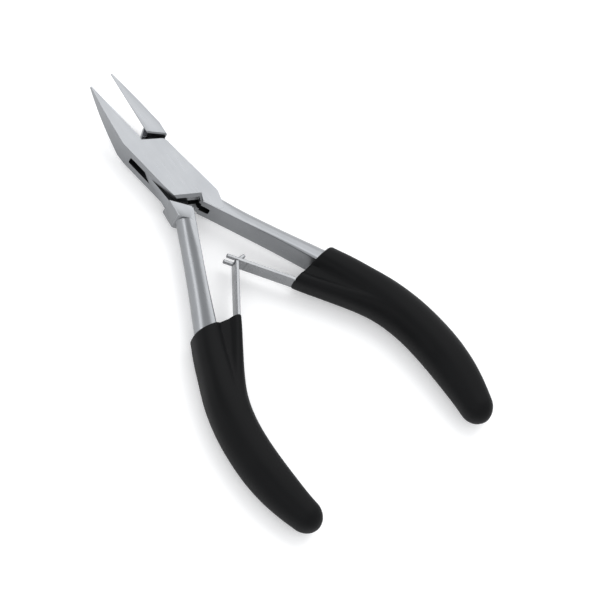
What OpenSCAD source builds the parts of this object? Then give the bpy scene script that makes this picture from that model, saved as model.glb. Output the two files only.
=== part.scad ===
// Box-joint nail nipper with pointed jaws, dipped grips and a pair of interlocking leaf springs.
// The frame: the origin is where the hinge axis meets the underside of the joint. +X runs to the handle
// ends, +Y to the box half's handle, +Z to the top face. Each half is drawn as it lies with the jaws shut,
// with the cutting edges on the X axis, and is then turned outwards to its open rest position.

/* [Box joint] */
// Thickness of the box joint, underside to top face
box_t = 7.1; // [6.6:0.1:7.6]
// Width of the box joint, side to side
box_w = 9.5; // [9:0.1:10]
// Height of the slot through the box half
slot_h = 2.6; // [2.2:0.1:3]
// Gap between the tongue and each cheek of the slot
slot_gap = 0.05; // [0.03:0.01:0.1]
// Diameter of the hinge pin
pin_d = 4; // [3:0.1:4.6]
// Radial clearance of the tongue's bore around the hinge pin
pin_gap = 0.05; // [0.02:0.01:0.1]
// Angle that each half is turned outwards at rest
half_open = 6.5; // [5:0.5:8]

/* [Jaws] */
// Length of the jaws, hinge axis to tips
jaw_l = 27.5; // [25:0.5:30]
// Width of a jaw's tip
tip_w = 0.35; // [0.2:0.05:0.6]
// Thickness of a jaw's tip
tip_t = 0.6; // [0.4:0.1:1]
// Undercut of the inner faces below the cutting edges
undercut_a = 26; // [15:1:28]
// Height of the narrow flat below each cutting edge
land_h = 0.25; // [0.1:0.05:0.5]

/* [Handles] */
// Angle between a handle's shank and the cutting edge line
shank_a = 22.2; // [21.5:0.1:23]
// Length of the straight shank
shank_l = 36; // [35:0.5:37]
// Radius of the bowed part under the grip, along its middle
bow_r = 71.4; // [70:0.2:74]
// Angle that the bowed part turns through
bow_a = 43.2; // [42:0.2:44]
// Width of the shank at the joint, inner face to outer side
shank_w = 4; // [3.6:0.1:4.4]
// Width of the handle under the grip's palm swell
palm_w = 6.4; // [6:0.1:6.6]
// Height of the handle under the grip
palm_h = 8; // [7.6:0.1:8.4]

/* [Grips] */
// Distance along the handle from its start to the grip's mouth
mouth_s = 32; // [31:0.5:33]
// Half the height of the grip
grip_h2 = 5.3; // [5:0.1:5.6]

/* [Leaf springs] */
// Thickness of the spring strip
leaf_t = 0.65; // [0.5:0.05:0.8]
// Width of the spring strip
leaf_w = 4.5; // [4:0.1:5]
// Distance from the hinge axis to the point where the springs cross
cross_x = 28.8; // [28.6:0.1:29]
// Angle of each spring to the centre line at rest
leaf_a = 37; // [36.5:0.1:37.5]
// Width of the gap between the fork's tines
fork_gap = 2.3; // [2:0.1:2.5]
// Width of the tongue that passes through the fork
catch_w = 1.7; // [1.4:0.1:1.8]

/* [Hidden] */

steel = "silver";
spring_steel = "gainsboro";
vinyl = "#2a2a2c";
far = 60;
over = 1;
mid_z = box_t / 2;
side_y = box_w / 2;
pin_r = pin_d / 2;
slot_z = mid_z - slot_h / 2;

// Plan points of the box half, with the jaws shut
crotch_x = -10;
jaw_root_x = -12;
cheek_back = [[7.4, -side_y], [10.9, 0.65], [11.8, 0.25]];
neck_inner = [15.3, 1.9];
neck_hollow = [[14.2, 2.75], [13.3, 3.9]];
neck_outer = [12.4, 5];
cheek_front = [[-5.4, 4.6], [-6.2, 4.3], [-9.3, -0.35]];

// Plan points of the tongue half, mirrored so that its jaw is on the -Y side
jaw_block = [[-jaw_l, 0], [-jaw_l, -tip_w], [jaw_root_x, -4.3], [-7.35, -4.35], [crotch_x, 0]];
neck_block = [[12, 0.3], [15.3, 1.95], [14.2, 2.75], [13.3, 3.9], [12.4, 4.85], [8.1, 4.65]];
tongue_outline = [[-9.6, -0.6], [-10.2, -2.6], [-7.35, -4.35], [1.5, -4.35], [5, -2.9], [9, -1], [12.5, 1],
                  [12.5, 4.4], [8.3, 4.65], [-2.2, 4.65], [-6.3, 2.8], [-8.4, 0.7]];

// The slot's depth at the back, and the rounded pocket that ends it inside the neck
slot_back_y = 2.7;
slot_back_x = 13.4;
pocket_x = 10;
pocket_end_x = 13.7;
pocket_end_l = 1.2;
pocket_l = 8;

// Underside of a jaw, which rises to the thin tip
belly_root_x = -8.5;
belly_mid = [-19, 2.6];

// Path along the middle of a handle: a straight shank and then the bow
shank_start = [11.75, 1.92];
bow_start = shank_start + shank_l * [cos(shank_a), sin(shank_a)];
bow_centre = bow_start + bow_r * [sin(shank_a), -cos(shank_a)];
bow_l = bow_r * bow_a * PI / 180;
handle_l = shank_l + bow_l;
dome_l = 2.5;
cover_t = 1.3;

// How the handle's section changes: it widens over palm_l from palm_s on,
// gains height over rise_l from rise_s on, and slims from slim_s on
palm_s = 14;
palm_l = 40;
slim_s = 66;
slim_by = 0.35;
inset = 0.06;
rise_s = 5;
rise_l = 27;
side_round = 0.8;
round_w = 0.6;
flat_w = 0.1;

// Springs in the box half's shut position
cross_p = cross_x * [cos(half_open), -sin(half_open)];
leaf_dir = leaf_a - half_open;
leaf_run = 36.1;
foot_l = 8;
foot_turn = -23.5;
fork_l = 2.7;
catch_reach = 2.9;
catch_a = 53;
slit_l = 2.2;
rivet_at = 4;
rivet_r = 1;
rivet_head_r = 1.7;
rivet_head_h = 0.45;
rivet_depth = 3;
fit = 0.05;

// Point and heading on the handle's path, a distance s from its start
function heading(s) = s < shank_l ? shank_a : shank_a - (s - shank_l) / bow_r * 180 / PI;
function on_path(s) = s < shank_l
    ? shank_start + s * [cos(shank_a), sin(shank_a)]
    : bow_centre + bow_r * [-sin(heading(s)), cos(heading(s))];

// A closed ring of points in a plane across the path: p[0] runs outwards from it, p[1] is up from mid height
function ring(s, skew, outline) =
    let (c = on_path(s), a = heading(s) - skew)
    [for (p = outline) [c[0] - sin(a) * p[0], c[1] + cos(a) * p[0], mid_z + p[1]]];

// Section of the steel handle: a flat inner face, and a rounded outer side
handle_steps = 10;
function handle_section(w, h) = concat(
    [[-w / 2, -h / 2], [-w / 2, h / 2]],
    [for (i = [0:handle_steps]) let (a = 90 - 180 * i / handle_steps)
        [w * (round_w * pow(abs(cos(a)), side_round) - flat_w), h / 2 * sin(a)]]);

// Section of the grip: a rounded oval that reaches further to the inner side, where it covers the spring
grip_steps = 24;
function bulge(v, n) = sign(v) * pow(abs(v), 2 / n);
function grip_section(outer, inner, h2, n) =
    [for (i = [0:grip_steps - 1]) let (a = -360 * i / grip_steps)
        [(cos(a) > 0 ? outer : inner) * bulge(cos(a), n), h2 * bulge(sin(a), n)]];

function ease(t) = t <= 0 ? 0 : t >= 1 ? 1 : t * t * (3 - 2 * t);
function dome(t) = sqrt(max(0.02, 1 - t * t));

function handle_ring(s) =
    let (swell = ease((s - palm_s) / palm_l),
         slim = 1 - slim_by * ease((s - slim_s) / (handle_l - slim_s)),
         end = dome(max(0, s - (handle_l - dome_l)) / dome_l),
         w = (shank_w + (palm_w - shank_w) * swell) * slim * end,
         h = (box_t - inset + (palm_h - box_t) * ease((s - rise_s) / rise_l)) * slim * end)
    ring(s, 0, handle_section(w, h));

// The grip's reach from the path to its outer and inner sides, and how far its cross plane is skewed
grip_outer = [[0, 3.7], [12, 3.7], [20, 4.8], [26, 5.2], [38, 5.4], [46, 5.1], [52, 4.4], [58, 3.7]];
grip_inner = [[0, 10.6], [7, 9.1], [14, 7.3], [21, 6], [28, 5.5], [38, 5.4], [46, 5.1], [52, 4.4], [58, 3.7]];
mouth_skew = 20;
skew_l = 16;
grip_l = handle_l + cover_t - mouth_s;
grip_dome_l = 4.2;

// The grip is lower by mouth_drop at its mouth and by end_drop at its end, and squarer at its mouth
mouth_drop = 0.5;
mouth_l = 20;
end_drop = 1.2;
end_s = 38;
end_l = 22;
mouth_n = 2.8;
body_n = 2.3;
function grip_ring(t) =
    let (end = dome(max(0, t - (grip_l - grip_dome_l)) / grip_dome_l),
         low = mouth_drop * (1 - ease(t / mouth_l)) + end_drop * ease((t - end_s) / end_l),
         n = mouth_n + (body_n - mouth_n) * ease(t / mouth_l))
    ring(mouth_s + t, mouth_skew * (1 - ease(t / skew_l)),
         grip_section(lookup(t, grip_outer) * end, lookup(t, grip_inner) * end, (grip_h2 - low) * end, n));

// A solid through a list of rings that all have the same number of points
module skin(rings) {
    n = len(rings[0]);
    last = len(rings) - 1;
    points = [for (r = rings) for (p = r) p];
    sides = [for (k = [0:last - 1]) for (i = [0:n - 1]) let (j = (i + 1) % n)
        each [[k * n + i, k * n + j, (k + 1) * n + i], [k * n + j, (k + 1) * n + j, (k + 1) * n + i]]];
    start_cap = [for (i = [0:n - 1]) n - 1 - i];
    end_cap = [for (i = [0:n - 1]) last * n + i];
    polyhedron(points, concat([start_cap], sides, [end_cap]));
}

module handle() {
    shank = [0, 5, 10, 18, 26, 32, 36];
    bow = [for (i = [1:10]) shank_l + (bow_l - dome_l) * i / 10];
    end = [for (t = [0.5, 0.8, 0.95, 1]) handle_l - dome_l * (1 - t)];
    skin([for (s = concat(shank, bow, end)) handle_ring(s)]);
}

module grip_outside() {
    body = [for (i = [0:15]) (grip_l - grip_dome_l) * i / 15];
    end = [for (t = [0.4, 0.7, 0.9, 1]) grip_l - grip_dome_l * (1 - t)];
    skin([for (t = concat(body, end)) grip_ring(t)]);
}

// Cuts away what lies under the belly line and behind the inner face of a jaw on the -Y side
module jaw_relief() {
    belly = [[-jaw_l - over, box_t - tip_t], [-jaw_l, box_t - tip_t], belly_mid, [belly_root_x, 0],
             [belly_root_x, -over], [-jaw_l - over, -over]];
    rotate([90, 0, 0])
        linear_extrude(far, center = true)
            polygon(belly);
    drop = box_t - land_h + over;
    inner_face = [[0, box_t - land_h], [-drop * tan(undercut_a), -over], [side_y, -over],
                  [side_y, box_t - land_h]];
    translate([crotch_x, 0, 0])
        rotate([90, 0, -90])
            linear_extrude(jaw_l)
                polygon([for (p = inner_face) [-p[0], p[1]]]);
}

// Plan of the box half: jaw, cheeks and neck, up to where the rounded shank takes over
module box_outline() {
    polygon(concat([[-jaw_l, 0], [-jaw_l, -tip_w], [jaw_root_x, -side_y]], cheek_back,
                   [neck_inner], neck_hollow, [neck_outer], cheek_front, [[crotch_x, 0]]));
}

// Mid-height slot: its front wall is the root of the box half's jaw, its back end a pocket in the neck
module slot() {
    plan = [[-7.8, -far], [-7.8, -side_y], [-8.9, -1.5], [-9.6, -0.3], [-10.6, 0.6], [-10.6, far],
            [6.5, far], [6.5, 4], [9.5, slot_back_y], [slot_back_x, slot_back_y], [slot_back_x, -far]];
    translate([0, 0, slot_z])
        linear_extrude(slot_h)
            polygon(plan);
    pocket_end = [for (a = [-90:22.5:90]) [pocket_end_x + pocket_end_l * cos(a), slot_h / 2 * sin(a)]];
    translate([0, slot_back_y, mid_z])
        rotate([90, 0, 0])
            linear_extrude(pocket_l)
                polygon(concat([[pocket_x, -slot_h / 2]], pocket_end, [[pocket_x, slot_h / 2]]));
}

// The strip of one leaf spring in plan, with its foot along the handle's inner face; grow widens it
module leaf_plan(grow, tip_l) {
    translate(cross_p)
        rotate(leaf_dir) {
            translate([-tip_l, -leaf_t / 2 - grow])
                square([leaf_run + tip_l, leaf_t + 2 * grow]);
            translate([leaf_run, 0])
                rotate(foot_turn)
                    translate([-leaf_t / 2, -leaf_t / 2 - grow])
                        square([foot_l, leaf_t + 2 * grow]);
        }
}

module on_foot() {
    translate([cross_p[0], cross_p[1], mid_z])
        rotate(leaf_dir)
            translate([leaf_run, 0, 0])
                rotate(foot_turn)
                    translate([rivet_at, 0, 0])
                        rotate([-90, 0, 0])
                            children();
}

module leaf_strip(grow, tip_l) {
    translate([0, 0, mid_z - leaf_w / 2 - grow])
        linear_extrude(leaf_w + 2 * grow)
            leaf_plan(grow, tip_l);
}

module rivet_shaft(r) {
    on_foot()
        translate([0, 0, -leaf_t])
            cylinder(r = r, h = leaf_t + rivet_depth, $fn = 40);
}

module rivet() {
    on_foot()
        translate([0, 0, -leaf_t / 2 - fit - rivet_head_h])
            cylinder(r = rivet_head_r, h = rivet_head_h, $fn = 40);
    rivet_shaft(rivet_r);
}

// The flat filed into a handle's inner face for the spring's foot, with the rivet's hole
module foot_seat() {
    leaf_strip(fit, 0);
    rivet_shaft(rivet_r);
}

module grip_solid() {
    difference() {
        grip_outside();
        handle();
        leaf_strip(fit, 0);
        rivet();
    }
}

module box_half() {
    color(steel)
        rotate([0, 0, half_open])
            difference() {
                union() {
                    linear_extrude(box_t)
                        box_outline();
                    handle();
                }
                jaw_relief();
                slot();
                translate([0, 0, -over])
                    cylinder(r = pin_r, h = box_t + 2 * over, $fn = 64);
                foot_seat();
            }
}

// Drawn with its jaw and handle on the box half's sides, and then mirrored
module tongue_half() {
    color(steel)
        rotate([0, 0, -half_open])
            difference() {
                mirror([0, 1, 0])
                    difference() {
                        union() {
                            linear_extrude(box_t)
                                polygon(jaw_block);
                            linear_extrude(box_t)
                                polygon(neck_block);
                            handle();
                            translate([0, 0, slot_z + slot_gap])
                                linear_extrude(slot_h - 2 * slot_gap)
                                    polygon(tongue_outline);
                        }
                        jaw_relief();
                        foot_seat();
                    }
                translate([0, 0, -over])
                    cylinder(r = pin_r + pin_gap, h = box_t + 2 * over, $fn = 64);
            }
}

module hinge_pin() {
    color(steel)
        cylinder(r = pin_r, h = box_t, $fn = 64);
}

module box_leaf() {
    color(spring_steel)
        rotate([0, 0, half_open])
            difference() {
                leaf_strip(0, fork_l);
                translate([cross_p[0], cross_p[1], mid_z])
                    rotate(leaf_dir)
                        translate([-fork_l - over, -leaf_t, -fork_gap / 2])
                            cube([fork_l + over + slit_l, 2 * leaf_t, fork_gap]);
                rivet_shaft(rivet_r + fit);
            }
}

// The tongue half's spring narrows where it passes through the fork, and its end is bent back
module tongue_leaf() {
    color(spring_steel)
        rotate([0, 0, -half_open])
            mirror([0, 1, 0])
                difference() {
                    union() {
                        difference() {
                            leaf_strip(0, 0);
                            for (side = [-1, 1])
                                translate([cross_p[0], cross_p[1], mid_z + side * (catch_w + leaf_w) / 2])
                                    rotate(leaf_dir)
                                        translate([-over, -leaf_t, -leaf_w / 2])
                                            cube([slit_l + over, 2 * leaf_t, leaf_w]);
                        }
                        translate([cross_p[0], cross_p[1], mid_z - catch_w / 2])
                            rotate(leaf_dir + 180 + catch_a)
                                translate([-leaf_t / 2, -leaf_t / 2, 0])
                                    cube([catch_reach, leaf_t, catch_w]);
                    }
                    rivet_shaft(rivet_r + fit);
                }
}

module box_leaf_rivet() {
    color(spring_steel)
        rotate([0, 0, half_open])
            rivet();
}

module tongue_leaf_rivet() {
    color(spring_steel)
        rotate([0, 0, -half_open])
            mirror([0, 1, 0])
                rivet();
}

module box_grip() {
    color(vinyl)
        rotate([0, 0, half_open])
            grip_solid();
}

module tongue_grip() {
    color(vinyl)
        rotate([0, 0, -half_open])
            mirror([0, 1, 0])
                grip_solid();
}

box_half();
tongue_half();
hinge_pin();
box_leaf();
tongue_leaf();
box_leaf_rivet();
tongue_leaf_rivet();
box_grip();
tongue_grip();
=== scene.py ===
"""Looks of the box-joint nail nipper: satin steel halves, spring strips and dipped vinyl grips.

Shapes are drawn in millimetres in the box half's shut position, with the cutting edge on the X axis,
the hinge axis at the origin and the joint's underside at z = 0. The tongue half's pieces are drawn the
same way and then mirrored. place() turns each piece out to rest and scales it to metres.
"""

from math import cos, degrees, pi, radians, sin, sqrt, tan

import bmesh
import bpy
import numpy as np
from mathutils import Matrix, Vector


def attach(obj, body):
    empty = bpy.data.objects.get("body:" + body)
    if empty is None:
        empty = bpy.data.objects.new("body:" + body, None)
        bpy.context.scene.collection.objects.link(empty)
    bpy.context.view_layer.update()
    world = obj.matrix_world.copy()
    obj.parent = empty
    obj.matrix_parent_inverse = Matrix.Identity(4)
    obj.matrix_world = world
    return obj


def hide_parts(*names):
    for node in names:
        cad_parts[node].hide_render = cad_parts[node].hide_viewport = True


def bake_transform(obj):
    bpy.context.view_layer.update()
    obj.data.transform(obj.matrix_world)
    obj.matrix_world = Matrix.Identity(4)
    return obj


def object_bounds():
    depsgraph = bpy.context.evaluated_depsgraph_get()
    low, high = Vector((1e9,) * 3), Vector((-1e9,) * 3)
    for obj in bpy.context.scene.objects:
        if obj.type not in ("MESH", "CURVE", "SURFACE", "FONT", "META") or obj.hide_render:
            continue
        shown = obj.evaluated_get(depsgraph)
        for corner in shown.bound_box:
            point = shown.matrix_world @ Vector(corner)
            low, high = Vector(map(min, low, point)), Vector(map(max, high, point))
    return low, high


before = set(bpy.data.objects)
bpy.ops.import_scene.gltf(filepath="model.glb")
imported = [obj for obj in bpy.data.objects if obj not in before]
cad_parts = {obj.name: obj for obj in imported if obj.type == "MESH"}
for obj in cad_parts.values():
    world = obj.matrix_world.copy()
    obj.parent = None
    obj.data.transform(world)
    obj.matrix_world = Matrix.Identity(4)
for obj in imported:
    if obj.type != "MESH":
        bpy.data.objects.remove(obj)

CAD_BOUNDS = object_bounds()
MM = 0.001

# ---------------------------------------------------------------- sizes, in millimetres and degrees
# The box joint, the slot through it and its pin
JOINT_T = 7.1
MID_Z = JOINT_T / 2
SIDE_Y = 4.75
HALF_OPEN = 6.5
SLOT_H = 2.6
SLOT_GAP = 0.05
SLOT_TOP = MID_Z + SLOT_H / 2
SLOT_FLOOR = MID_Z - SLOT_H / 2
PIN_R = 2.0
PIN_GAP = 0.05
PIN_SIDES = 64

# The jaws; JAW_FULL is how far their sides bulge, and BELLY_RISE the straight share of the belly's rise
JAW_L = 27.5
JAW_FULL = 0.14
BELLY_RISE = 0.72
TIP_W = 0.35
TIP_T = 0.6
UNDERCUT = 26.0
LAND_H = 0.25
CROTCH_X = -10.0
BELLY_X = -8.6

# The handles: a straight shank and then a bow; _S is a place along that path, and _L a length along it
SHANK_A = 22.2
SHANK_L = 36.0
BOW_R = 71.4
BOW_A = 43.2
SHANK_START = np.array([11.75, 1.92])
HANDLE_L = SHANK_L + BOW_R * radians(BOW_A)
SHANK_W = 4.0
PALM_W = 6.4
PALM_S, PALM_L = 14, 40
RISE_S, RISE_L, RISE_H = 4, 28, 0.86
SLIM_S, SLIM_BY = 66, 0.35
END_L = 2.6
HANDLE_INSET = 0.06
NECK_FLAT, HANDLE_FLAT = 0.55, 0.3
MOUTH_S = 32.0
GRIP_L = HANDLE_L + 1.3 - MOUTH_S
GRIP_H = 5.29

# The leaf springs, which cross at CROSS_X and run at LEAF_A; LEAF_T is more than the CAD's strip, 0.65
LEAF_T = 0.85
LEAF_W = 4.5
CROSS_X = 28.8
LEAF_A = 37.0
LEAF_RUN = 36.1
FOOT_L = 7.6
FOOT_TURN = -23.5
FORK_L = 2.7
FORK_GAP = 2.3
SLIT_L = 0.6
SCORE_W = 0.32
SCORE_D = 0.12
LEAF_BEND = 1.2
CATCH_W = 1.7
CATCH_L = 2.7
CATCH_A = 53.0

# Edges and chamfers (inwards, down), the window and the pocket where the slot comes out, and the relief
EDGE_R = 0.08
REAR_CHAMFER = (0.8, 0.5)
CROTCH_CHAMFER = (0.32, 0.32)
WINDOW_X = -7.8
WINDOW_R = 0.5
CHEEK_OUT = -5.3
# DARK_FROM and DARK_TO bound, along X, where the faces inside the slot get painted shade
DARK_FROM, DARK_TO = -10.7, 15.1
RELIEF_X = 0.29
RELIEF_BACK, RELIEF_UP = 0.0692, 0.1104
POCKET_X = 14.9
POCKET_R = 0.7


# ---------------------------------------------------------------- materials
def node_tree(name):
    mat = bpy.data.materials.new(name)
    mat.use_nodes = True
    tree = mat.node_tree
    tree.nodes.clear()
    out = tree.nodes.new("ShaderNodeOutputMaterial")
    shader = tree.nodes.new("ShaderNodeBsdfPrincipled")
    tree.links.new(shader.outputs["BSDF"], out.inputs["Surface"])
    return mat, tree, shader


def stretched_noise(tree, scale, detail=4.0, rough=0.55):
    """Noise in object space; scale is how many features fit in a metre along each axis."""
    coord = tree.nodes.new("ShaderNodeTexCoord")
    mapping = tree.nodes.new("ShaderNodeMapping")
    mapping.inputs["Scale"].default_value = scale
    noise = tree.nodes.new("ShaderNodeTexNoise")
    noise.inputs["Scale"].default_value = 1.0
    noise.inputs["Detail"].default_value = detail
    noise.inputs["Roughness"].default_value = rough
    tree.links.new(coord.outputs["Object"], mapping.inputs["Vector"])
    tree.links.new(mapping.outputs["Vector"], noise.inputs["Vector"])
    return noise.outputs["Fac"]


def remap(tree, value, low, high, start=0.3, stop=0.7):
    node = tree.nodes.new("ShaderNodeMapRange")
    node.inputs["From Min"].default_value = start
    node.inputs["From Max"].default_value = stop
    node.inputs["To Min"].default_value = low
    node.inputs["To Max"].default_value = high
    tree.links.new(value, node.inputs["Value"])
    return node.outputs["Result"]


def mix_colour(tree, factor, a, b):
    node = tree.nodes.new("ShaderNodeMix")
    node.data_type = "RGBA"
    tree.links.new(factor, node.inputs["Factor"])
    node.inputs["A"].default_value = (*a, 1)
    node.inputs["B"].default_value = (*b, 1)
    return node.outputs["Result"]


def add_bump(tree, shader, height, strength, distance):
    bump = tree.nodes.new("ShaderNodeBump")
    bump.inputs["Strength"].default_value = strength
    bump.inputs["Distance"].default_value = distance
    tree.links.new(height, bump.inputs["Height"])
    tree.links.new(bump.outputs["Normal"], shader.inputs["Normal"])


def satin_steel(name, dark, light, rough, grain=(160, 2600, 2600), bump=0.07):
    mat, tree, shader = node_tree(name)
    shader.inputs["Metallic"].default_value = 1.0
    lines = stretched_noise(tree, grain, 5)
    cloud = stretched_noise(tree, (140, 140, 140), 3)
    base = mix_colour(tree, remap(tree, cloud, 0, 1), dark, light)
    tree.links.new(base, shader.inputs["Base Color"])
    tree.links.new(remap(tree, lines, rough - 0.03, rough + 0.04), shader.inputs["Roughness"])
    add_bump(tree, shader, lines, bump, 0.00002)
    return mat


def vinyl(name):
    mat, tree, shader = node_tree(name)
    fine = stretched_noise(tree, (2600, 2600, 2600), 4)
    cloud = stretched_noise(tree, (70, 70, 70), 3)
    base = mix_colour(tree, remap(tree, cloud, 0, 1), (0.003, 0.0032, 0.0036), (0.0055, 0.0057, 0.0062))
    tree.links.new(base, shader.inputs["Base Color"])
    tree.links.new(remap(tree, cloud, 0.46, 0.58), shader.inputs["Roughness"])
    shader.inputs["Specular IOR Level"].default_value = 0.09
    add_bump(tree, shader, fine, 0.18, 0.00003)
    return mat


def paper(name):
    mat, tree, shader = node_tree(name)
    fine = stretched_noise(tree, (900, 900, 900), 3)
    base = mix_colour(tree, remap(tree, fine, 0, 1), (0.92, 0.92, 0.925), (0.94, 0.94, 0.945))
    tree.links.new(base, shader.inputs["Base Color"])
    shader.inputs["Roughness"].default_value = 0.9
    shader.inputs["Specular IOR Level"].default_value = 0.1
    shader.inputs["Emission Color"].default_value = (1, 1, 1, 1)
    shader.inputs["Emission Strength"].default_value = 0.2
    return mat


STEEL = satin_steel("satin_steel", (0.228, 0.235, 0.246), (0.242, 0.249, 0.259), 0.3)
# Near-black steel for the faces inside the joint: painted shade where the slot's hollow lies in shadow
SLOT_SHADE_STEEL = satin_steel("slot_painted_shade", (0.02, 0.021, 0.023), (0.04, 0.041, 0.043), 0.5)
# Brighter steel on the bevelled edges: partly edge wear, partly a painted highlight
EDGE_WEAR_AND_HIGHLIGHT_STEEL = satin_steel("edge_wear_and_highlight_steel", (0.24, 0.247, 0.258), (0.31, 0.317, 0.327), 0.22, (900, 900, 900))
SPRING_STEEL = satin_steel(
    "spring_steel", (0.225, 0.23, 0.24), (0.26, 0.265, 0.272), 0.28, (1400, 1400, 300), 0.02
)
STEEL_SLOTS = (STEEL, SLOT_SHADE_STEEL, EDGE_WEAR_AND_HIGHLIGHT_STEEL)
VINYL = vinyl("black_vinyl")


# ---------------------------------------------------------------- small helpers
def ease(t):
    t = min(1.0, max(0.0, t))
    return t * t * (3 - 2 * t)


def new_object(name, verts, faces):
    mesh = bpy.data.meshes.new(name)
    mesh.from_pydata([tuple(float(c) for c in v) for v in verts], [], faces)
    for material in STEEL_SLOTS:
        mesh.materials.append(material)
    obj = bpy.data.objects.new(name, mesh)
    bpy.context.scene.collection.objects.link(obj)
    return outward(obj)


def outward(obj):
    """Makes every face of a closed mesh point outwards."""
    bm = bmesh.new()
    bm.from_mesh(obj.data)
    bmesh.ops.remove_doubles(bm, verts=bm.verts, dist=1e-5)
    bmesh.ops.recalc_face_normals(bm, faces=bm.faces)
    bm.to_mesh(obj.data)
    bm.free()
    return obj


def bake_modifiers(obj):
    """Turns an object's modifiers into its mesh."""
    graph = bpy.context.evaluated_depsgraph_get()
    mesh = bpy.data.meshes.new_from_object(
        obj.evaluated_get(graph), preserve_all_data_layers=True, depsgraph=graph
    )
    old = obj.data
    obj.modifiers.clear()
    obj.data = mesh
    bpy.data.meshes.remove(old)
    return obj


def combine(obj, other, operation):
    mod = obj.modifiers.new("combine", "BOOLEAN")
    mod.operation = operation
    mod.object = other
    mod.solver = "EXACT"
    bake_modifiers(obj)
    mesh = other.data
    bpy.data.objects.remove(other)
    bpy.data.meshes.remove(mesh)
    return obj


def cut(obj, *cutters):
    for c in cutters:
        combine(obj, c, "DIFFERENCE")
    return obj


def add(obj, *others):
    for o in others:
        combine(obj, o, "UNION")
    return obj


def round_edges(obj, width, segments=3, angle=20, bright_edges=True):
    """Rounds the sharp edges; unless told otherwise, the bevels get a brighter steel: partly edge wear,
    partly a painted highlight.
    """
    mod = obj.modifiers.new("edges", "BEVEL")
    mod.material = STEEL_SLOTS.index(EDGE_WEAR_AND_HIGHLIGHT_STEEL) if bright_edges else -1
    mod.width = width
    mod.segments = segments
    mod.limit_method = "ANGLE"
    mod.angle_limit = radians(angle)
    return bake_modifiers(obj)


def prism(name, outline, z0, z1, top=None):
    """A solid between an outline at z0 and one with as many points at z1."""
    return loft(name, [[(x, y, z0) for x, y in outline], [(x, y, z1) for x, y in top or outline]])


def side_prism(name, outline, y0, y1):
    """A solid whose outline is in X and Z, from y0 to y1."""
    return loft(name, [[(x, y, z) for x, z in outline] for y in (y0, y1)])


def cylinder(name, r, z0, z1):
    turn = [2 * pi * i / PIN_SIDES for i in range(PIN_SIDES)]
    return prism(name, [(r * cos(a), r * sin(a)) for a in turn], z0, z1)


def loft(name, rings):
    """A closed tube through rings that have the same number of points."""
    n, last = len(rings[0]), len(rings) - 1
    verts = [p for r in rings for p in r]
    faces = [list(range(n))[::-1], [last * n + i for i in range(n)]]
    for k in range(last):
        for i in range(n):
            j = (i + 1) % n
            faces.append([k * n + i, k * n + j, (k + 1) * n + j, (k + 1) * n + i])
    return new_object(name, verts, faces)


def mirror_y(obj):
    obj.data.transform(Matrix.Diagonal((1, -1, 1, 1)))
    return outward(obj)


def smooth(obj, angle=30):
    """Smooth shading that keeps creases sharp and flat faces flat."""
    for p in obj.data.polygons:
        p.use_smooth = True
    obj.data.set_sharp_from_angle(angle=radians(angle))
    mod = obj.modifiers.new("normals", "WEIGHTED_NORMAL")
    mod.keep_sharp = True
    return bake_modifiers(obj)


def place(obj, side):
    """Turns a shut piece out to rest, in metres; side is 1 for the box half and -1 for the tongue half."""
    if side < 0:
        mirror_y(obj)
    obj.data.transform(Matrix.Scale(MM, 4) @ Matrix.Rotation(radians(side * HALF_OPEN), 4, "Z"))
    return obj


# ---------------------------------------------------------------- the handle's path, as in the CAD
BOW_START = SHANK_START + SHANK_L * np.array([cos(radians(SHANK_A)), sin(radians(SHANK_A))])
BOW_CENTRE = BOW_START + BOW_R * np.array([sin(radians(SHANK_A)), -cos(radians(SHANK_A))])


def heading(s):
    return SHANK_A if s < SHANK_L else SHANK_A - degrees((s - SHANK_L) / BOW_R)


def on_path(s):
    a = radians(heading(s))
    if s < SHANK_L:
        return SHANK_START + s * np.array([cos(a), sin(a)])
    return BOW_CENTRE + BOW_R * np.array([-sin(a), cos(a)])


def cross_ring(s, section, skew=0.0):
    """Section points, which are (outwards, up), in a plane across the path."""
    c, a = on_path(s), radians(heading(s) - skew)
    return [(c[0] - sin(a) * u, c[1] + cos(a) * u, MID_Z + v) for u, v in section]


# ---------------------------------------------------------------- steel handle
def handle_section(w, h, corner, flat, steps=20):
    """Flat inner face with rounded corners, a flat strip on top, and a rounded outer side."""
    upper = []
    for i in range(6):
        a = radians(18 * i)
        upper.append((-w / 2 + corner * (1 - cos(a)), h / 2 - corner * (1 - sin(a))))
    start = -w / 2 + flat
    for i in range(steps + 1):
        a = radians(90 * i / steps)
        upper.append((start + (w - flat) * sin(a), h / 2 * cos(a) if i < steps else 0.0))
    return upper + [(u, -v) for u, v in upper[-2::-1]]


def handle_ring(s, neck_flat):
    """The handle's section at s along its path, widening, rising and then slimming towards the end."""
    end = max(0.0, (s - (HANDLE_L - END_L)) / END_L)
    tip = sqrt(max(0.03, 1 - end * end))
    slim = (1 - SLIM_BY * ease((s - SLIM_S) / (HANDLE_L - SLIM_S))) * tip
    w = (SHANK_W + (PALM_W - SHANK_W) * ease((s - PALM_S) / PALM_L)) * slim
    h = (JOINT_T - HANDLE_INSET + RISE_H * ease((s - RISE_S) / RISE_L)) * slim
    corner = (0.16 + 0.42 * ease((s - 10) / 22)) * tip
    flat = max((0.1 + (neck_flat - 0.1) * (1 - ease((s - 3) / 9))) * w, 1.05 * corner)
    return cross_ring(s, handle_section(w, h, corner, flat))


def make_handle(neck_flat):
    """The whole handle; neck_flat is how much of its width is flat on top where it leaves the joint."""
    stations = list(np.linspace(0, HANDLE_L - END_L, 84))
    stations += [HANDLE_L - END_L * (1 - t) for t in (0.3, 0.5, 0.7, 0.85, 0.95, 1.0)]
    return loft("handle", [handle_ring(s, neck_flat) for s in stations])


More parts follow.
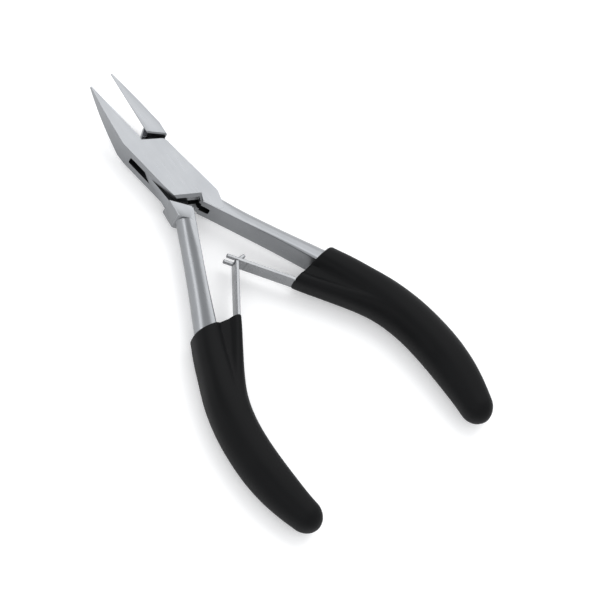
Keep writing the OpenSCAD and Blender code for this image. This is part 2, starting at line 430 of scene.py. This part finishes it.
# ---------------------------------------------------------------- plan of the joint, jaws shut
CHEEK_BACK = [(7.45, -SIDE_Y), (10.9, 0.65), (11.8, 0.25)]
NECK_END = [(16.4, 1.9), (17.0, 3.0), (16.4, 3.8), (15.0, 4.2), (13.6, 4.8), (12.8, 5.15), (12.1, 5.25)]
CHEEK_FRONT = [(-5.1, 4.68), (-5.7, 4.55), (-6.2, 4.2), (-9.3, -0.35)]
JAW_BACK = [(-7.35, -4.35), (CROTCH_X, 0.0)]
NECK = [(12.0, 0.3), (15.3, 1.95), (14.6, 2.5), (14.0, 3.1), (13.5, 3.8), (13.0, 4.4), (12.5, 4.75),
        (8.1, 4.65)]
TONGUE = [(-9.6, -0.6), (-10.2, -2.6), (-7.35, -4.35), (1.5, -4.35), (5.0, -2.9), (9.0, -1.0), (12.5, 1.0),
          (12.5, 4.4), (8.3, 3.65), (0.8, 4.7), (-3.2, 4.7), (-6.3, 2.8), (-8.4, 0.7)]
TONGUE_UNDER = TONGUE[:8] + [(8.3, 4.7), (1.0, 4.7), (-0.3, 4.7)] + TONGUE[11:]
FLARE = [(-12.6, -1.6), (-11.9, -0.9), (-11.2, -0.1), (-10.75, 0.45), (-10.4, 0.65), (-10.0, 0.5),
         (-9.6, -0.3), (-9.7, -2.6)]
SLOT = [(-7.2, -40), (-7.2, -SIDE_Y), (-8.9, -1.5), (-10.1, -0.7), (-10.6, 0.6), (-10.6, 40),
        (6.5, 40), (6.5, 4), (9.5, 2.7), (13.4, 2.7), (13.4, -40)]


def jaw_outline(root_x, root_y):
    """The jaw's tip and outer side, which is a little full in the middle."""
    side = []
    for i in range(9):
        t = i / 8
        side.append((-JAW_L + (root_x + JAW_L) * t, -TIP_W - (root_y - TIP_W) * t - JAW_FULL * sin(pi * t)))
    return [(-JAW_L, 0.0)] + side


def belly_cutter():
    """What lies under a jaw's belly, which rises in a long curve to the thin tip."""
    reach, rise = JAW_L + BELLY_X, JOINT_T - TIP_T
    steps = [i / 16 for i in range(17)]
    curve = [(BELLY_X - reach * t, rise * (BELLY_RISE * t + (1 - BELLY_RISE) * t**3)) for t in steps]
    return side_prism("belly", [(BELLY_X, -2)] + curve + [(-JAW_L - 3, rise), (-JAW_L - 3, -2)], -20, 20)


def undercut_cutter():
    """What lies behind the inner face of the -Y jaw, below the narrow flat under its cutting edge."""
    top = JOINT_T - LAND_H
    drop = (top + 2) * tan(radians(UNDERCUT))
    section = [(0.0, top), (-drop, -2.0), (8.0, -2.0), (8.0, top)]
    return loft("undercut", [[(x, y, z) for y, z in section] for x in (-JAW_L - 3, CROTCH_X)])


def corner_cutter(p, q, size, drop):
    """Takes the top corner off the wall from p to q, with the steel on the left of that direction."""
    p, q = np.array(p), np.array(q)
    along = (q - p) / np.linalg.norm(q - p)
    inward = np.array([-along[1], along[0]])
    section = [(-size, JOINT_T - 2 * drop), (2 * size, JOINT_T + drop),
               (-size, JOINT_T + drop), (-2 * size, JOINT_T)]
    ends = [[(*(e + inward * u), z) for u, z in section] for e in (p - 0.5 * along, q + 0.5 * along)]
    return loft("corner", ends)


def relief_cutter():
    """Above the tongue, the cheek's side wall is filed back a little towards the rear and the slot."""
    def wall(x, z):
        return -SIDE_Y + RELIEF_BACK * (x + RELIEF_X) - RELIEF_UP * (z - SLOT_TOP)

    def face(x):
        return [(x, -8, 4), (x, wall(x, 4), 4), (x, wall(x, 7.8), 7.8), (x, -8, 7.8)]

    return loft("relief", [face(-3), face(9)])


def slot_end_cutter(name, x_in, x_end, corner, y0, y1):
    """Takes the slot's height out from x_in to x_end, where its corners are rounded."""
    out = 1 if x_end > x_in else -1
    arc = [radians(a) for a in range(0, 91, 15)]
    high = [(x_end - out * corner * (1 - sin(a)), SLOT_TOP - corner * (1 - cos(a))) for a in arc]
    low = [(x, 2 * MID_Z - z) for x, z in high]
    return side_prism(name, [(x_in, SLOT_FLOOR)] + low + high[::-1] + [(x_in, SLOT_TOP)], y0, y1)


def window_cutter():
    """The front end of the opening where the slot comes out on the cheek's side."""
    return slot_end_cutter("window", -6.5, WINDOW_X, WINDOW_R, CHEEK_OUT, -3.6)


def pocket_cutter():
    """The slot runs on into the neck and comes out on its inner face."""
    return slot_end_cutter("pocket", 10, POCKET_X, POCKET_R, CHEEK_OUT, 2.7)


# ---------------------------------------------------------------- spring strips
def unit(a):
    return np.array([cos(radians(a)), sin(radians(a))])


CROSS = CROSS_X * unit(-HALF_OPEN)
LEAF_DIR = LEAF_A - HALF_OPEN


def rounded_path(points, radius, step=0.6):
    """Points every step along a line whose corners are arcs."""
    out = [points[0]]
    for a, b, c in zip(points, points[1:], points[2:]):
        d1, d2 = (b - a) / np.linalg.norm(b - a), (c - b) / np.linalg.norm(c - b)
        out += [b - d1 * radius, None, b + d2 * radius]
    out.append(points[-1])
    path = []
    for k in range(len(out) - 1):
        if out[k + 1] is None:
            a, c = out[k], out[k + 2]
            b = points[(k + 2) // 3]
            path += [(1 - t) ** 2 * a + 2 * t * (1 - t) * b + t * t * c for t in np.linspace(0, 1, 7)[1:]]
        elif out[k] is not None:
            n = max(1, int(np.linalg.norm(out[k + 1] - out[k]) / step))
            first = 0 if k == 0 else 1
            path += [out[k] + (out[k + 1] - out[k]) * t for t in np.linspace(0, 1, n + 1)[first:]]
    return path


def strip(name, path, height, centre_z, thick=LEAF_T, corner=0.14, round_end=0.16):
    """A flat spring strip on edge along a path, with rounded edges and a softened first end."""
    section = []
    for qx, qz, turned in ((1, 1, 0), (-1, 1, pi / 2), (-1, -1, pi), (1, -1, 1.5 * pi)):
        centre_u, centre_v = qx * (thick / 2 - corner), qz * (height / 2 - corner)
        for i in range(5):
            a = radians(22.5 * i) + turned
            section.append((centre_u + corner * cos(a), centre_v + corner * sin(a)))
    rings = []
    for k, p in enumerate(path):
        before, after = path[max(0, k - 1)], path[min(len(path) - 1, k + 1)]
        d = (after - before) / np.linalg.norm(after - before)
        n = np.array([-d[1], d[0]])
        rings.append([(*(p + n * u), centre_z + v) for u, v in section])
        if k == 0:
            ends = []
            for t in (0.0, 0.35, 0.75):
                m = round_end * (1 - sqrt(1 - (1 - t) ** 2))
                fit = [(u * (1 - m / (thick / 2)), v * (1 - m / (height / 2))) for u, v in section]
                ends.append([(*(p - d * round_end * (1 - t) + n * u), centre_z + v) for u, v in fit])
            rings = ends + rings
    return loft(name, rings)


def leaf_path(first, last_foot=FOOT_L):
    d, foot = unit(LEAF_DIR), unit(LEAF_DIR + FOOT_TURN)
    corner = CROSS + d * LEAF_RUN
    return [CROSS + d * first, corner, corner + foot * last_foot]


def make_box_leaf():
    path = rounded_path(leaf_path(SLIT_L), LEAF_BEND)
    leaf = strip("box_leaf_strip", path, LEAF_W, MID_Z, round_end=0.05)
    tine_h = (LEAF_W - FORK_GAP) / 2
    d = unit(LEAF_DIR)
    for name, up in (("tine_low", -1), ("tine_top", 1)):
        path = [CROSS + d * x for x in np.arange(-FORK_L + 0.16, SLIT_L + 0.5, 0.35)]
        centre_z = MID_Z + up * (LEAF_W - tine_h) / 2
        add(leaf, strip(name, path, tine_h, centre_z, corner=0.26, round_end=0.22))
    return cut(leaf, score_cutter())


def score_cutter():
    """A shallow slanting line scored across the leaf's inner face, just behind the fork."""
    d, n = unit(LEAF_DIR), unit(LEAF_DIR - 90)

    def end(along, z):
        floor = LEAF_T / 2 - SCORE_D
        corners = [(0, LEAF_T), (SCORE_W, LEAF_T), (SCORE_W, floor), (0, floor)]
        return [(*(CROSS + d * (along + a) + n * off), z) for a, off in corners]

    return loft("score", [end(2.0, MID_Z - LEAF_W), end(2.6, MID_Z + LEAF_W)])


def make_tongue_leaf():
    path = rounded_path(leaf_path(SLIT_L), LEAF_BEND)
    leaf = strip("tongue_leaf_strip", path, LEAF_W, MID_Z, round_end=0.05)
    d = unit(LEAF_DIR)
    hook = unit(LEAF_DIR + 180 + CATCH_A)
    path = rounded_path([CROSS + hook * CATCH_L, CROSS, CROSS + d * (SLIT_L + 0.4)], 0.45, 0.3)
    add(leaf, strip("catch", path, CATCH_W, MID_Z, corner=0.2, round_end=0.2))
    return leaf


def foot_cutter(grow=0.06):
    path = rounded_path(leaf_path(LEAF_RUN - 14, FOOT_L + 0.2), LEAF_BEND)
    return strip("foot", path, LEAF_W + 2 * grow, MID_Z, thick=LEAF_T + 2 * grow, corner=0.1)


# ---------------------------------------------------------------- the steel halves
def make_box_half():
    outline = jaw_outline(-11.3, SIDE_Y) + CHEEK_BACK + NECK_END + CHEEK_FRONT + [(CROTCH_X, 0.0)]
    body = prism("box_half_steel", outline, 0, JOINT_T)
    cut(body, belly_cutter(), undercut_cutter(), relief_cutter())
    cut(body, corner_cutter(*CHEEK_BACK[:2], *REAR_CHAMFER))
    round_edges(body, EDGE_R)
    add(body, make_handle(NECK_FLAT))
    cut(body, prism("slot", SLOT, SLOT_FLOOR, SLOT_TOP), window_cutter(), pocket_cutter())
    cut(body, cylinder("bore", PIN_R, -1, JOINT_T + 1), foot_cutter())
    return place(smooth(body), 1)


def make_tongue_half():
    jaw = prism("tongue_half_steel", jaw_outline(-10.9, 4.3) + JAW_BACK, 0, JOINT_T)
    cut(jaw, belly_cutter(), undercut_cutter(), corner_cutter(*JAW_BACK, *CROTCH_CHAMFER))
    round_edges(jaw, EDGE_R)
    neck = round_edges(prism("neck", NECK, 0, JOINT_T), EDGE_R)
    tongue = prism("tongue", TONGUE_UNDER, SLOT_FLOOR + SLOT_GAP, SLOT_TOP - SLOT_GAP, top=TONGUE)
    round_edges(tongue, 0.1, segments=2, angle=30, bright_edges=False)
    flare = round_edges(prism("flare", FLARE, SLOT_FLOOR + 0.1, SLOT_TOP - 0.1), 0.25)
    add(jaw, tongue, flare, neck, make_handle(HANDLE_FLAT))
    cut(jaw, cylinder("bore", PIN_R + PIN_GAP, -1, JOINT_T + 1), foot_cutter())
    return place(smooth(jaw), -1)


# ---------------------------------------------------------------- grips
OUTER_REACH = [(0, 3.7), (12, 3.7), (20, 4.78), (26, 5.18), (38, 5.37), (46, 5.07), (52, 4.38), (58, 3.68)]
INNER_REACH = [(0, 10.6), (7, 9.1), (14, 7.3), (21, 6.0), (28, 5.5), (38, 5.4), (46, 5.1), (52, 4.4),
               (58, 3.7)]
GRIP_DOME = 4.2
LIP_R = 0.8
MOUTH_SKEW = 20
HANDLE_LOBE_W = 3.75
LEAF_LOBE_W, LEAF_LOBE_H = 1.75, 3.15
WEB_H = 2.7
LOBE_BLEND = 3.5


def reach(table, t):
    """The table's value at t, averaged over a short stretch so that its corners are round."""
    x, y = zip(*table)
    near = np.linspace(-4, 4, 9)
    weight = 1 - np.abs(near) / 5
    return float(np.sum(weight * np.interp(t + near, x, y)) / weight.sum())


def hump(u, centre, half_w, half_h, n):
    """Height at u of a rounded lobe; the larger n is, the squarer the lobe."""
    x = min(1.0, abs((u - centre) / half_w))
    return half_h * (1 - x**n) ** (1 / n)


def grip_ring(t, lip=0.0):
    """The grip's section: lobes over handle and spring at the mouth, and an oval further on."""
    outer, inner = reach(OUTER_REACH, t), reach(INNER_REACH, t)
    height = GRIP_H - 0.5 * (1 - ease(t / 20)) - 1.2 * ease((t - 38) / 22)
    n = 2.8 - 0.5 * ease(t / 22)
    mid, half = (outer - inner) / 2, (outer + inner) / 2
    even = ease(t / 24)
    end = max(0.0, (t - (GRIP_L - GRIP_DOME)) / GRIP_DOME)
    end = sqrt(max(0.0004, 1 - end * end))
    upper = []
    steps = 36
    for i in range(steps + 1):
        u = mid + half * cos(pi * i / steps)
        side = outer if u > 0 else inner
        oval = hump(u, 0, side, height, n)
        lobes = [
            hump(u, outer - HANDLE_LOBE_W, HANDLE_LOBE_W, height, 2.5),
            hump(u, LEAF_LOBE_W - inner, LEAF_LOBE_W, LEAF_LOBE_H, 2.4),
            hump(u, mid, half, WEB_H, 4),
        ]
        lobed = sum(v**LOBE_BLEND for v in lobes) ** (1 / LOBE_BLEND)
        v = lobed + (oval - lobed) * even
        upper.append((mid + (u - mid) * (1 - lip / half), v * (1 - lip / height)))
    upper = [(u * end, v * end) for u, v in upper]
    section = upper + [(u, -v) for u, v in upper[-2:0:-1]]
    return cross_ring(MOUTH_S + t, section, MOUTH_SKEW * (1 - ease(t / 16)))


def make_grip(name):
    rings = []
    for a in (0, 18, 36, 54, 72):
        rings.append(grip_ring(LIP_R * (1 - cos(radians(a))) * 0.9, LIP_R * (1 - sin(radians(a)))))
    rings += [grip_ring(t) for t in np.linspace(LIP_R, GRIP_L - GRIP_DOME, 64)]
    dome = (0.15, 0.3, 0.45, 0.6, 0.72, 0.82, 0.9, 0.96, 0.99, 1)
    rings += [grip_ring(GRIP_L - GRIP_DOME * (1 - t)) for t in dome]
    grip = loft(name, rings)
    cut(grip, make_handle(HANDLE_FLAT), foot_cutter(0.03))
    return grip


# ---------------------------------------------------------------- painting
def paint(obj, *materials):
    obj.data.materials.clear()
    for m in materials:
        obj.data.materials.append(m)
    return obj


def paint_slot_shade(obj, side):
    """The faces inside the joint get the near-black steel: painted shade in the slot, the window and the
    pocket.
    """
    turn = Matrix.Rotation(radians(-side * HALF_OPEN), 4, "Z") @ Matrix.Scale(1 / MM, 4)
    for p in obj.data.polygons:
        c = turn @ p.center
        within = DARK_FROM < c.x < DARK_TO and abs(c.y) < -CHEEK_OUT
        inside = abs(c.z - MID_Z) < SLOT_H / 2 + 0.02 and within
        if side > 0:
            wall = abs(p.normal.z) < 0.5 and (c.y < -SIDE_Y + 0.12 or c.y > 4.6)
            neck = c.x > 9.5 and abs((turn.to_3x3() @ p.normal).normalized().y) > 0.4
            dark = inside and not wall and not neck
        else:
            flat = abs(p.normal.z) > 0.6 and c.x > -9.9
            dark = inside and flat and abs(abs(c.z - MID_Z) - SLOT_H / 2) < 0.2
        if dark:
            # painted shade on a face inside the slot
            p.material_index = STEEL_SLOTS.index(SLOT_SHADE_STEEL)


# ---------------------------------------------------------------- pieces
box_half = make_box_half()
paint_slot_shade(box_half, 1)
tongue_half = make_tongue_half()
paint_slot_shade(tongue_half, -1)
box_grip = paint(place(smooth(make_grip("box_grip_vinyl"), 50), 1), VINYL)
tongue_grip = paint(place(smooth(make_grip("tongue_grip_vinyl"), 50), -1), VINYL)
box_leaf = paint(place(smooth(make_box_leaf(), 40), 1), SPRING_STEEL)
tongue_leaf = paint(place(smooth(make_tongue_leaf(), 40), -1), SPRING_STEEL)

for piece, node, body, slot_name in (
    (box_half, "box_half", "box_side", "satin_steel"),
    (box_grip, "box_grip", "box_side", "black_vinyl"),
    (tongue_half, "tongue_half", "tongue_side", "satin_steel"),
    (tongue_grip, "tongue_grip", "tongue_side", "black_vinyl"),
):
    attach(piece, body)
    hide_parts(node)

for piece, node, half, spring, side in (
    (box_leaf, "box_leaf", "box_side", "box_spring", 1),
    (tongue_leaf, "tongue_leaf", "tongue_side", "tongue_spring", -1),
):
    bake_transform(piece)
    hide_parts(node)

for node, material in (
    ("hinge_pin", STEEL),
    ("box_leaf_rivet", SPRING_STEEL),
    ("tongue_leaf_rivet", SPRING_STEEL),
):
    paint(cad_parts[node], material)

# ---------------------------------------------------------------- floor, camera and lights
FLOOR_Z = CAD_BOUNDS[0][2]
FLOOR_R = 6
corners = [(-FLOOR_R, -FLOOR_R), (FLOOR_R, -FLOOR_R), (FLOOR_R, FLOOR_R), (-FLOOR_R, FLOOR_R)]
floor = new_object("floor", [(x, y, FLOOR_Z) for x, y in corners], [[0, 1, 2, 3]])
if floor.data.polygons[0].normal.z < 0:
    floor.data.flip_normals()
paint(floor, paper("pale_floor"))

TILT = radians(29)
TOWARDS = Vector((0.4007, -0.9163, 0))
ACROSS = Vector((0.9163, 0.4007, 0))
TO_CAMERA = (TOWARDS * sin(TILT) + Vector((0, 0, 1)) * cos(TILT)).normalized()
DOWN_TILT = TOWARDS * cos(TILT) - Vector((0, 0, 1)) * sin(TILT)
ROLL_SIN, ROLL_COS = 0.515, 0.857
RIGHT = (-ROLL_SIN * DOWN_TILT + ROLL_COS * ACROSS).normalized()
UP = TO_CAMERA.cross(RIGHT)
AIM = Vector((46.55, 5.8, 7.16)) * MM
VIEW_W = 0.1474
LENS = 1200.0
SENSOR = 36.0

camera_data = bpy.data.cameras.new("camera")
camera_data.lens = LENS
camera_data.sensor_width = SENSOR
camera_data.clip_start = 0.01
camera_data.clip_end = 20
camera = bpy.data.objects.new("camera", camera_data)
bpy.context.scene.collection.objects.link(camera)
axes = Matrix((RIGHT, UP, TO_CAMERA)).transposed().to_4x4()
camera.matrix_world = Matrix.Translation(AIM + TO_CAMERA * (VIEW_W * LENS / SENSOR)) @ axes
bpy.context.scene.camera = camera


def softbox(name, direction, distance, width, height, radiance):
    """A rectangular light facing the tool, in metres, whose energy follows its area."""
    light = bpy.data.lights.new(name, "AREA")
    light.shape = "RECTANGLE"
    light.size, light.size_y = width, height
    light.energy = radiance * pi * width * height
    obj = bpy.data.objects.new(name, light)
    bpy.context.scene.collection.objects.link(obj)
    d = Vector(direction).normalized()
    obj.location = Vector((0.045, 0, 0)) + d * distance
    obj.rotation_euler = d.to_track_quat("Z", "Y").to_euler()
    obj.visible_camera = False
    return obj


softbox("key", (-0.22, 0.50, 1.0), 0.9, 0.62, 0.5, 2.02)
softbox("fill", (0.27, -0.62, 0.93), 1.0, 0.6, 0.3, 1.8)
softbox("window", (-0.76, -0.60, 0.26), 1.0, 0.7, 0.36, 2.3)
softbox("rim", (-0.40, 0.84, 0.42), 1.1, 0.8, 0.75, 1.4)

world = bpy.data.worlds.new("studio")
bpy.context.scene.world = world
world.use_nodes = True
world.node_tree.nodes["Background"].inputs["Color"].default_value = (0.98, 0.99, 1.0, 1)
world.node_tree.nodes["Background"].inputs["Strength"].default_value = 0.9

bpy.context.scene.view_settings.view_transform = "Standard"
